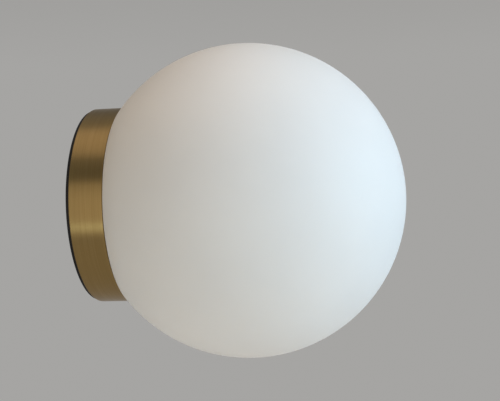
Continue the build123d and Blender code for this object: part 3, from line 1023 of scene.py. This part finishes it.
@dataclass
class GlobeShade:
    """Blown opal globe: a sphere cut at the shoulder and turned in to a threaded neck."""

    radius: float = node_radius("globe_glass")
    front: float = node_front("globe_glass")
    neck_end: float = node_back("globe_glass")
    seat: float = node_front("seal_ring")
    wall: float = 3.5 * MM
    shoulder_rounding: float = 6 * MM
    neck_radius: float = 41.8 * MM
    neck_root: float = 1.2 * MM
    thread_pitch: float = 5 * MM
    thread_start: float = 10.8 * MM
    thread_turns: int = 2
    bead_radius: float = 0.8 * MM
    bead_sink: float = 0.35 * MM
    segments: int = 160
    rings: int = 96

    def build(self) -> Piece:
        """Shape the globe from a sphere.

        Returns:
            The globe, as one piece with its neck's thread.
        """
        centre = self.front - self.radius
        inner = self.radius - self.shoulder_rounding
        bend = self.seat + self.shoulder_rounding
        flat_radius = math.sqrt(inner**2 - (bend - centre) ** 2)
        cut_depth = centre + (bend - centre) * self.radius / inner
        cut_radius = flat_radius * self.radius / inner
        Bench.begin()
        bpy.ops.mesh.primitive_uv_sphere_add(
            segments=self.segments,
            ring_count=self.rings,
            radius=self.radius,
            location=(0.0, -centre, 0.0),
            rotation=(QUARTER_TURN, 0.0, 0.0),
        )
        globe = Bench.settle("globe_shade")
        Bench.cut(globe, cut_depth, keep_out=True)
        start = math.atan2(cut_radius - flat_radius, cut_depth - bend)
        shoulder = Bench.arc((bend, flat_radius), self.shoulder_rounding, start, HALF_TURN, steps=10)
        root_centre = (self.seat - self.neck_root, self.neck_radius + self.neck_root)
        root = Bench.arc(root_centre, self.neck_root, 0.0, -QUARTER_TURN, steps=5)
        Bench.draw((cut_depth, cut_radius), [*shoulder[1:], *root, (self.neck_end, self.neck_radius)])
        Bench.close()
        Bench.apply(globe, "SOLIDIFY", thickness=self.wall, offset=-1.0, use_even_offset=True)
        Bench.apply(globe, "BEVEL", width=self.wall / 3, segments=3, limit_method="ANGLE", angle_limit=1.0)
        core = (self.thread_start, self.neck_radius - self.bead_sink)
        bead = Bench.bead("neck_thread", core, self.bead_radius, self.thread_pitch, self.thread_turns)
        Bench.fuse(globe, bead)
        return globe

    def dress(self) -> None:
        """Build the globe and dress it in satin opal."""
        Bench.finish(self.build(), "globe_glass")


@dataclass
class BrassDrum:
    """Turned brass drum with the gallery, the threaded ring and the seal that carry the globe."""

    radius: float = node_radius("base_drum")
    back: float = node_back("base_drum")
    front: float = node_front("base_drum")
    ring_back: float = node_back("neck_ring")
    gallery_back: float = node_front("neck_ring")
    seal_back: float = node_back("seal_ring")
    seal_front: float = node_front("seal_ring")
    seal_outer: float = node_radius("seal_ring")
    groove_inner: float = node_radius("neck_ring")
    segments: int = 192
    wall: float = 2.5 * MM
    gallery_width: float = 17 * MM
    edge_round: float = 0.5 * MM
    lip_height: float = 0.35 * MM
    lip_width: float = 0.8 * MM
    lip_round: float = 0.2 * MM
    groove_play: float = 0.1 * MM
    ring_bore: float = 42.4 * MM
    ring_wall: float = 3 * MM
    flange: float = 2 * MM
    lead_in: float = 0.8 * MM
    thread_pitch: float = 5 * MM
    thread_start: float = 12.9 * MM
    thread_turns: int = 1
    bead_radius: float = 0.7 * MM
    screw_hole: float = 1.6 * MM
    grub_hole: float = 2.1 * MM
    seal_round: float = 0.3 * MM
    ring_screw: ScrewForm = ScrewForm(
        radius=1.5 * MM, pitch=0.5 * MM, length=6 * MM, head_radius=2.6 * MM, head_height=1.8 * MM
    )
    grub_screw: ScrewForm = ScrewForm(
        radius=2 * MM, pitch=0.7 * MM, length=3 * MM,
        drive=Drive.HEX_SOCKET, drive_width=2 * MM, drive_depth=1.5 * MM,
    )

    def drum(self) -> Piece:
        """Turn the drum and drill its holes.

        Returns:
            The new drum.
        """
        bore = self.radius - self.wall
        opening = bore - self.gallery_width
        groove_outer = self.seal_outer + self.groove_play
        edge, soft = self.edge_round, self.lip_round
        lip_inner = self.radius - self.lip_width
        crown = self.front + self.lip_height - soft
        profile = [
            (self.back, bore),
            *Bench.arc((self.back + edge, self.radius - edge), edge, HALF_TURN, QUARTER_TURN),
            *Bench.arc((crown, self.radius - soft), soft, QUARTER_TURN, 0.0),
            *Bench.arc((crown, lip_inner + soft), soft, 0.0, -QUARTER_TURN),
            (self.front, lip_inner),
            (self.front, groove_outer),
            (self.seal_back, groove_outer),
            (self.seal_back, self.groove_inner),
            (self.front, self.groove_inner),
            (self.front, opening),
            (self.gallery_back, opening),
            (self.gallery_back, bore),
        ]
        drum = Bench.turn("drum_shell", profile, self.segments)
        Bench.drill(drum, self.screw_holes(self.gallery_back, self.front), self.screw_hole)
        grub_holes = zip(self.grub_points(bore - self.wall), self.grub_points(self.radius + self.wall))
        Bench.drill(drum, list(grub_holes), self.grub_hole)
        return drum

    def screw_holes(self, back: float, front: float) -> list[Run]:
        """Find the four holes of the ring's screws.

        Args:
            back: the depth that they start from.
            front: the depth that they go to.

        Returns:
            The start and end of each hole, a little past the two depths.
        """
        circle = (self.ring_bore + self.ring_wall + self.groove_inner) / 2
        holes = []
        for quarter in range(4):
            angle = QUARTER_TURN * (quarter + 0.5)
            x, z = circle * math.cos(angle), circle * math.sin(angle)
            holes.append((Vector((x, -back + MM, z)), Vector((x, -front - MM, z))))
        return holes

    @staticmethod
    def grub_points(radius: float) -> list[Vector]:
        """Return the points on the axes of the two grub screws at a radius."""
        low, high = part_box("grub_screws")
        return [Vector((0.0, (low.y + high.y) / 2, height)) for height in (radius, -radius)]

    def ring(self) -> Piece:
        """Turn the ring that holds the neck and wind its thread.

        Returns:
            The new ring.
        """
        collar = self.ring_bore + self.ring_wall
        flange_back = self.gallery_back - self.flange
        profile = [
            (self.ring_back, self.ring_bore),
            (self.ring_back, collar),
            (flange_back, collar),
            (flange_back, self.groove_inner),
            (self.gallery_back, self.groove_inner),
            (self.gallery_back, self.ring_bore + self.lead_in),
            (self.gallery_back - self.lead_in, self.ring_bore),
        ]
        ring = Bench.turn("threaded_ring", profile)
        Bench.drill(ring, self.screw_holes(flange_back, self.gallery_back), self.screw_hole)
        core = (self.thread_start, self.ring_bore + self.bead_radius / 3)
        bead = Bench.bead("ring_thread", core, self.bead_radius, self.thread_pitch, self.thread_turns)
        Bench.fuse(ring, bead)
        return ring

    def seal(self) -> Piece:
        """Turn the flat seal with softened edges.

        Returns:
            The new seal.
        """
        soft = self.seal_round
        back, front = self.seal_back + soft, self.seal_front - soft
        inner, outer = self.groove_inner + self.groove_play + soft, self.seal_outer - soft
        profile = [
            *Bench.arc((back, inner), soft, -QUARTER_TURN, -HALF_TURN),
            *Bench.arc((back, outer), soft, HALF_TURN, QUARTER_TURN),
            *Bench.arc((front, outer), soft, QUARTER_TURN, 0.0),
            *Bench.arc((front, inner), soft, 0.0, -QUARTER_TURN),
        ]
        return Bench.turn("seal_gasket", profile)

    def dress(self) -> None:
        """Build and dress the drum, the ring, the seal and their screws."""
        Bench.finish(self.drum(), "base_drum")
        Bench.finish(self.ring(), "neck_ring")
        Bench.finish(self.seal(), "seal_ring")
        self.ring_screw.set_out("ring_screws", "ring_screw_set", head_out=False)
        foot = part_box("grub_screws")[1].z - self.grub_screw.length
        grub_places = list(zip(self.grub_points(foot), (UPWARDS, -UPWARDS)))
        self.grub_screw.set_out("grub_screws", "grub_screw_set", grub_places)


@dataclass
class BackPlate:
    """Black plate on the wall, with its cable grommet and earth screw."""

    earth_screw: ScrewForm = ScrewForm(
        radius=2 * MM, pitch=0.7 * MM, length=6.5 * MM, head_radius=3.8 * MM, head_height=2.6 * MM
    )

    def dress(self) -> None:
        """Dress the plate and what is fixed to it."""
        dress("back_plate", "cable_grommet", "earth_washer")
        self.earth_screw.set_out("earth_screw", "earth_fixing")


@dataclass
class Lampholder:
    """Porcelain lampholder on its bridge, with a rolled screw shell and a threaded hollow nipple."""

    shell_back: float = node_back("socket_shell")
    shell_front: float = node_front("socket_shell")
    nipple_back: float = node_back("hollow_nipple")
    nipple_front: float = node_front("hollow_nipple")
    nipple_radius: float = node_radius("hollow_nipple")
    thread_pitch: float = 3.629 * MM
    thread_crest: float = 13.65 * MM
    thread_root: float = 12.65 * MM
    sheet: float = 0.4 * MM
    floor_hole: float = 11 * MM
    rim_height: float = 1.6 * MM
    nipple_pitch: float = 1 * MM
    nipple_thread: float = 0.5 * MM
    nipple_bore: float = 3.9 * MM
    bridge_screw: ScrewForm = ScrewForm(
        radius=2 * MM, pitch=0.7 * MM, length=5.8 * MM, head_radius=3.8 * MM, head_height=2.6 * MM
    )

    def shell(self) -> Piece:
        """Roll the thin screw shell with its floor and plain rim.

        Returns:
            The new shell.
        """
        floor_front = self.shell_back + self.sheet
        rim_back = self.shell_front - self.rim_height
        outer, outer_root = self.thread_crest + self.sheet, self.thread_root + self.sheet
        lap = self.sheet / 2
        thread = Thread(outer, outer_root, self.thread_pitch, self.shell_back)
        shell = thread.tube("screw_shell", floor_front - lap, rim_back + lap, self.sheet)
        floor = [
            (self.shell_back, self.floor_hole),
            (self.shell_back, outer),
            (floor_front, outer),
            (floor_front, self.floor_hole),
        ]
        rim = [
            (rim_back, outer_root),
            (rim_back, outer),
            (self.shell_front, outer),
            (self.shell_front, self.thread_crest),
            (rim_back + self.sheet, self.thread_crest),
        ]
        Bench.fuse(shell, Bench.turn("shell_floor", floor), Bench.turn("shell_rim", rim))
        return shell

    def nipple(self) -> Piece:
        """Cut the fine thread of the hollow nipple and bore it.

        Returns:
            The new nipple.
        """
        thread = Thread(self.nipple_radius, self.nipple_radius - self.nipple_thread, self.nipple_pitch)
        nipple = thread.rod("threaded_nipple", self.nipple_back, self.nipple_front)
        bore = (OUTWARDS * (self.nipple_back - MM), OUTWARDS * (self.nipple_front + MM))
        Bench.drill(nipple, [bore], self.nipple_bore)
        return nipple

    def dress(self) -> None:
        """Build the threaded pieces and dress the holder."""
        Bench.finish(self.shell(), "socket_shell")
        Bench.finish(self.nipple(), "hollow_nipple")
        self.bridge_screw.set_out("bridge_screws", "bridge_screw_set")
        dress("lampholder_bridge", "lock_washer", "nipple_nut")
        dress("lampholder_cap", "lampholder_skirt", "contact_block", "centre_contact")


@dataclass
class Wiring:
    """Terminal block with its brass tubes and screws, and the two leads to the holder."""

    clamp_screw: ScrewForm = ScrewForm(radius=1.4 * MM, pitch=0.5 * MM, length=3.7 * MM)
    block_screw: ScrewForm = ScrewForm(
        radius=1.4 * MM, pitch=0.5 * MM, length=5.8 * MM, head_radius=2.2 * MM, head_height=1.6 * MM
    )

    def dress(self) -> None:
        """Dress the block and the leads, and set the screws in it."""
        dress("terminal_block", "terminal_tubes", "live_lead", "neutral_lead")
        self.clamp_screw.set_out("clamp_screws", "clamp_screw_set")
        self.block_screw.set_out("block_screw", "block_fixing")


@dataclass
class Bulb:
    """Opal bulb in a flared housing, on a rolled screw cap."""

    cap_back: float = node_back("bulb_cap")
    cap_front: float = node_front("bulb_cap")
    thread_crest: float = node_radius("bulb_cap")
    shell_back: float = node_back("socket_shell")
    housing_front: float = node_front("bulb_housing")
    housing_top: float = node_radius("bulb_housing")
    thread_pitch: float = 3.629 * MM
    thread_root: float = 12 * MM
    sheet: float = 0.4 * MM
    collar: float = 2.2 * MM
    cone: float = 1.6 * MM
    cone_radius: float = 11.7 * MM
    housing_foot: float = 14.6 * MM
    foot_band: float = 2 * MM
    housing_wall: float = 1.4 * MM
    flare_bulge: float = 1.2 * MM
    flare_steps: int = 12
    spigot_radius: float = 11.4 * MM
    spigot_length: float = 10 * MM

    def cap(self) -> Piece:
        """Roll the cap's thread between its cone and its plain collar.

        Returns:
            The new cap.
        """
        cone_front = self.cap_back + self.cone
        collar_back = self.cap_front - self.collar
        middle = (self.thread_crest + self.thread_root) / 2
        lap = self.sheet / 2
        thread = Thread(self.thread_crest, self.thread_root, self.thread_pitch, self.shell_back)
        cap = thread.tube("bulb_screw_cap", cone_front - lap, collar_back + lap, self.sheet)
        cone = [
            (self.cap_back, self.cone_radius - self.sheet),
            (self.cap_back, self.cone_radius),
            (cone_front - self.sheet, middle),
            (cone_front, middle),
            (cone_front, self.cone_radius - self.sheet),
        ]
        collar = [
            (collar_back, self.thread_root - self.sheet),
            (collar_back, middle),
            (collar_back + self.sheet, self.thread_crest),
            (self.cap_front, self.thread_crest),
            (self.cap_front, self.thread_root - self.sheet),
        ]
        Bench.fuse(cap, Bench.turn("cap_cone", cone), Bench.turn("cap_collar", collar))
        return cap

    def flare(self, inset: float) -> list[Point]:
        """Work out the housing's flared side.

        Args:
            inset: how far it is set in from the outside.

        Returns:
            Its points from foot to rim, as depth and radius.
        """
        start, end = self.cap_front + self.foot_band, self.housing_front
        points = []
        for step in range(self.flare_steps + 1):
            along = step / self.flare_steps
            bow = (1 - (2 * along - 1) ** 2) * self.flare_bulge
            radius = self.housing_foot + (self.housing_top - self.housing_foot) * along - bow - inset
            points.append((start + (end - start) * along + bow, radius))
        return points

    def housing(self) -> Piece:
        """Turn the hollow flared housing with the spigot inside the cap.

        Returns:
            The new housing.
        """
        spigot_back = self.cap_front - self.spigot_length
        spigot_bore = self.spigot_radius - self.housing_wall
        profile = [
            (spigot_back, spigot_bore),
            (spigot_back, self.spigot_radius),
            (self.cap_front, self.spigot_radius),
            (self.cap_front, self.housing_foot),
            *self.flare(0.0),
            *reversed(self.flare(self.housing_wall)),
            (self.cap_front + self.foot_band, spigot_bore),
        ]
        return Bench.turn("bulb_body", profile)

    def dress(self) -> None:
        """Build the cap and the housing and dress the bulb."""
        Bench.finish(self.cap(), "bulb_cap")
        Bench.finish(self.housing(), "bulb_housing")
        dress("bulb_tip", "bulb_insulator", "bulb_envelope")


@dataclass(frozen=True)
class Softbox:
    """A soft light that faces the globe, with its place from there along the camera's directions."""

    name: str
    towards: float
    right: float
    up: float
    size: Point
    power: float
    colour: Colour


@dataclass
class Studio:
    """Pale floor, soft light and the camera at the photograph's view."""

    image_width: int = 500
    image_height: int = 401
    globe_image_x: float = 248.8
    globe_image_y: float = 200.4
    globe_image_radius: float = 157.5
    globe_radius: float = node_radius("globe_glass")
    globe_front: float = node_front("globe_glass")
    distance: float = 0.75
    turn: float = math.radians(-78.2)
    roll: float = math.radians(1.87)
    sensor_width: float = 36.0
    floor_level: float = -0.9
    floor_reach: float = 6.0
    floor_sides: int = 96
    floor_fade: Point = (0.8, 3.0)
    floor_shown: Colour = (0.48, 0.475, 0.465)
    floor_bounce: Colour = (0.84, 0.83, 0.81)
    floor_roughness: float = 0.9
    room_glow: Colour = (1.2, 1.66, 2.15)
    far_glow: Colour = (0.36, 0.34, 0.3)
    sky_glow: Colour = (0.96, 0.77, 0.575)
    backdrop: Colour = (0.38, 0.375, 0.365)
    backdrop_top: float = 0.56
    upper_wall: Colour = (0.165, 0.16, 0.15)
    upper_wall_level: float = 0.78
    ceiling: Colour = (0.36, 0.35, 0.335)
    softboxes: tuple[Softbox, ...] = (
        Softbox(
            "front_softbox", towards=1.15, right=-0.3, up=-0.06,
            size=(0.9, 1.3), power=2.3, colour=(1.0, 0.87, 0.69),
        ),
        Softbox(
            "low_strip", towards=1.1, right=-0.3, up=-0.5,
            size=(0.9, 0.16), power=0.55, colour=(0.75, 1.0, 1.0),
        ),
        Softbox(
            "top_softbox", towards=0.2, right=0.0, up=1.3,
            size=(1.7, 1.0), power=2.5, colour=(1.0, 0.81, 0.69),
        ),
        Softbox(
            "room_softbox", towards=0.4, right=1.3, up=0.2,
            size=(1.2, 1.2), power=5.2, colour=(0.77, 0.97, 1.0),
        ),
    )

    @property
    def aim(self) -> Vector:
        """The globe's centre."""
        return OUTWARDS * (self.globe_front - self.globe_radius)

    @property
    def right(self) -> Vector:
        """The image's right, level."""
        return Vector((math.cos(self.turn), math.sin(self.turn), 0.0))

    @property
    def towards(self) -> Vector:
        """From the globe to the camera."""
        return Vector((math.sin(self.turn), -math.cos(self.turn), 0.0))

    def camera(self) -> None:
        """Place the camera so that the globe's outline falls as in the photograph."""
        bpy.ops.object.camera_add()
        camera = bpy.context.object
        camera.name = "photo_camera"
        right = self.right * math.cos(self.roll) - UPWARDS * math.sin(self.roll)
        upward = self.right * math.sin(self.roll) + UPWARDS * math.cos(self.roll)
        turned = Matrix((right, upward, self.towards)).transposed().to_4x4()
        camera.matrix_world = Matrix.Translation(self.aim + self.towards * self.distance) @ turned
        radii_away = self.distance / self.globe_radius
        focal = self.globe_image_radius * math.sqrt(radii_away**2 - 1)
        camera.data.sensor_width = self.sensor_width
        camera.data.lens = self.sensor_width * focal / self.image_width
        camera.data.shift_x = (self.image_width / 2 - self.globe_image_x) / self.image_width
        camera.data.shift_y = (self.globe_image_y - self.image_height / 2) / self.image_width
        bpy.context.scene.camera = camera

    def lights(self) -> None:
        """Hang broad soft lights on the camera's side, overhead and on the room's side."""
        for box in self.softboxes:
            place = self.towards * box.towards + self.right * box.right + UPWARDS * box.up
            bpy.ops.object.light_add(type="AREA", location=self.aim + place)
            light = bpy.context.object
            light.name = box.name
            light.rotation_euler = (-place).to_track_quat("-Z", "Y").to_euler()
            light.data.shape = "RECTANGLE"
            light.data.size, light.data.size_y = box.size
            light.data.energy = box.power
            light.data.color = box.colour
            light.visible_camera = False

    def surroundings(self) -> None:
        """Light the lamp softly from each side, before a plain pale background."""
        world = bpy.data.worlds.new("studio")
        bpy.context.scene.world = world
        world.use_nodes = True
        graph = Graph(world.node_tree)
        across, out, height = graph.split(graph.node("ShaderNodeTexCoord").outputs["Generated"])
        sides = ((out, -1.0, self.room_glow), (across, 1.0, self.far_glow), (height, 1.0, self.sky_glow))
        glow: Value = (0.0, 0.0, 0.0)
        for direction, sign, colour in sides:
            facing = graph.math("MAXIMUM", graph.math("MULTIPLY", direction, sign))
            glow = graph.mix(graph.math("MULTIPLY", facing, facing), glow, colour, blend="ADD")
        ramp = graph.node("ShaderNodeValToRGB", {"Fac": graph.remap(height, (-1.0, 1.0))})
        stops = ramp.color_ramp.elements
        stops[0].color = (*self.backdrop, 1.0)
        stops[1].color = (*self.ceiling, 1.0)
        stops.new(self.backdrop_top).color = (*self.backdrop, 1.0)
        stops.new(self.upper_wall_level).color = (*self.upper_wall, 1.0)
        shown = graph.mix(self.shown_rays(graph), glow, ramp.outputs["Color"])
        graph.feed(world.node_tree.nodes["Background"], {"Color": shown})

    @staticmethod
    def shown_rays(graph: Graph) -> Socket:
        """Tell what the camera sees straight, in gloss or through glass from the rest.

        Args:
            graph: the graph of the material or world that asks.

        Returns:
            The socket of a value that is 1 for such rays and 0 for others.
        """
        path = graph.node("ShaderNodeLightPath").outputs
        mirrored = graph.math("MAXIMUM", path["Is Glossy Ray"], path["Is Transmission Ray"])
        return graph.math("MAXIMUM", path["Is Camera Ray"], mirrored)

    def floor(self) -> None:
        """Lay a pale floor that fades into the surroundings far away."""
        Bench.begin()
        bpy.ops.mesh.primitive_circle_add(
            vertices=self.floor_sides,
            radius=self.floor_reach,
            fill_type="NGON",
            location=(self.aim.x, self.aim.y, self.floor_level),
        )
        floor = Bench.settle("floor")
        made = bpy.data.materials.new("Pale floor")
        made.use_nodes = True
        graph = Graph(made.node_tree)
        shown = self.shown_rays(graph)
        surface = made.node_tree.nodes["Principled BSDF"]
        colour = graph.mix(shown, self.floor_bounce, self.floor_shown)
        graph.feed(surface, {"Base Color": colour, "Roughness": self.floor_roughness})
        place = graph.node("ShaderNodeTexCoord").outputs["Object"]
        away = graph.node("ShaderNodeVectorMath", {0: place}, operation="LENGTH").outputs["Value"]
        fade = graph.math("MULTIPLY", graph.remap(away, self.floor_fade, smooth=True), shown)
        far = graph.node("ShaderNodeEmission", {"Color": self.backdrop})
        shaders = {0: fade, 1: surface.outputs["BSDF"], 2: far.outputs["Emission"]}
        blend = graph.node("ShaderNodeMixShader", shaders)
        graph.feed(made.node_tree.nodes["Material Output"], {"Surface": blend.outputs["Shader"]})
        floor.data.materials.append(made)

    def build(self) -> None:
        """Set up the floor, the surroundings, the lights and the camera."""
        self.floor()
        self.surroundings()
        self.lights()
        self.camera()
        bpy.context.scene.view_settings.view_transform = "Standard"


def main() -> None:
    """Build and dress the lamp and set up the studio."""
    logging.basicConfig(level=logging.INFO)
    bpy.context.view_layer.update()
    for assembly in (BackPlate(), Wiring(), Lampholder(), Bulb(), BrassDrum(), GlobeShade()):
        assembly.dress()
    Studio().build()
    Bench.begin()
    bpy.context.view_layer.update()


if __name__ == "__main__":
    main()
